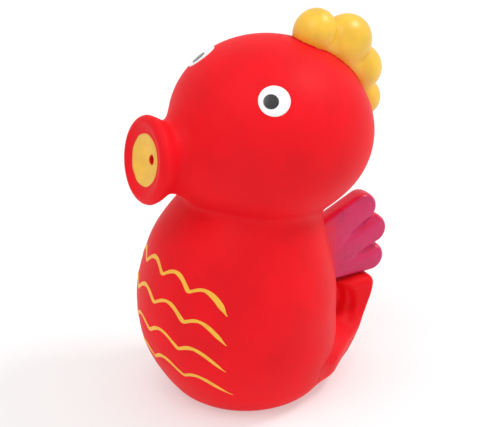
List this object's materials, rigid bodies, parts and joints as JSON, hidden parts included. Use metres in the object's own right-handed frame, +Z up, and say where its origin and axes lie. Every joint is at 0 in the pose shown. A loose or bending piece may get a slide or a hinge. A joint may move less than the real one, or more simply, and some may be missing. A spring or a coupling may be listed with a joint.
{
  "type": "seahorse bath squirter toy",
  "caption": "Hollow soft-vinyl seahorse toy: round head with trumpet snout and squirt hole, lobed crest, fingered dorsal fin, curled tail, flat base and flanks that squeeze.",
  "frame": {"origin": "centre of the flat base, on the surface the toy stands on", "axes": "+Z up, snout along -Y, the toy's left side +X"},
  "size_m": [0.05, 0.0696, 0.0969],
  "materials": {
    "red_vinyl": "matte soft vinyl",
    "yellow_paint": "satin sprayed paint",
    "yellow_print": "satin pad-printed ink",
    "magenta_paint": "semi-gloss sprayed paint",
    "white_print": "semi-gloss pad-printed ink",
    "dark_print": "semi-gloss pad-printed ink"
  },
  "bodies": {
    "shell": {"body_shell": "red_vinyl", "head_shell": "red_vinyl", "snout": "red_vinyl", "tail_curl": "red_vinyl", "crest": "yellow_paint", "mouth_disc": "yellow_paint", "eye_white_left": "white_print", "eye_white_right": "white_print", "pupil_left": "dark_print", "pupil_right": "dark_print", "belly_wave_1": "yellow_print", "belly_wave_2": "yellow_print", "belly_wave_3": "yellow_print", "belly_wave_4": "yellow_print"},
    "fin": {"dorsal_fin": "magenta_paint"},
    "flank_left": {"squeeze_panel_left": "red_vinyl"},
    "flank_right": {"squeeze_panel_right": "red_vinyl"}
  },
  "joints": [
    {"name": "fin_flex", "type": "hinge", "parent": "shell", "child": "fin", "pos_m": [0, 0.0227, 0.0303], "axis": [0, -0.0995, 0.995], "range_deg": [-10, 10], "stiffness_Nm_per_rad": 0.08},
    {"name": "squeeze_left", "type": "slide", "parent": "shell", "child": "flank_left", "axis": [-1, 0, 0], "range_m": [0, 0.004], "stiffness_N_per_m": 1200},
    {"name": "squeeze_right", "type": "slide", "parent": "shell", "child": "flank_right", "axis": [1, 0, 0], "range_m": [0, 0.004], "stiffness_N_per_m": 1200}
  ]
}
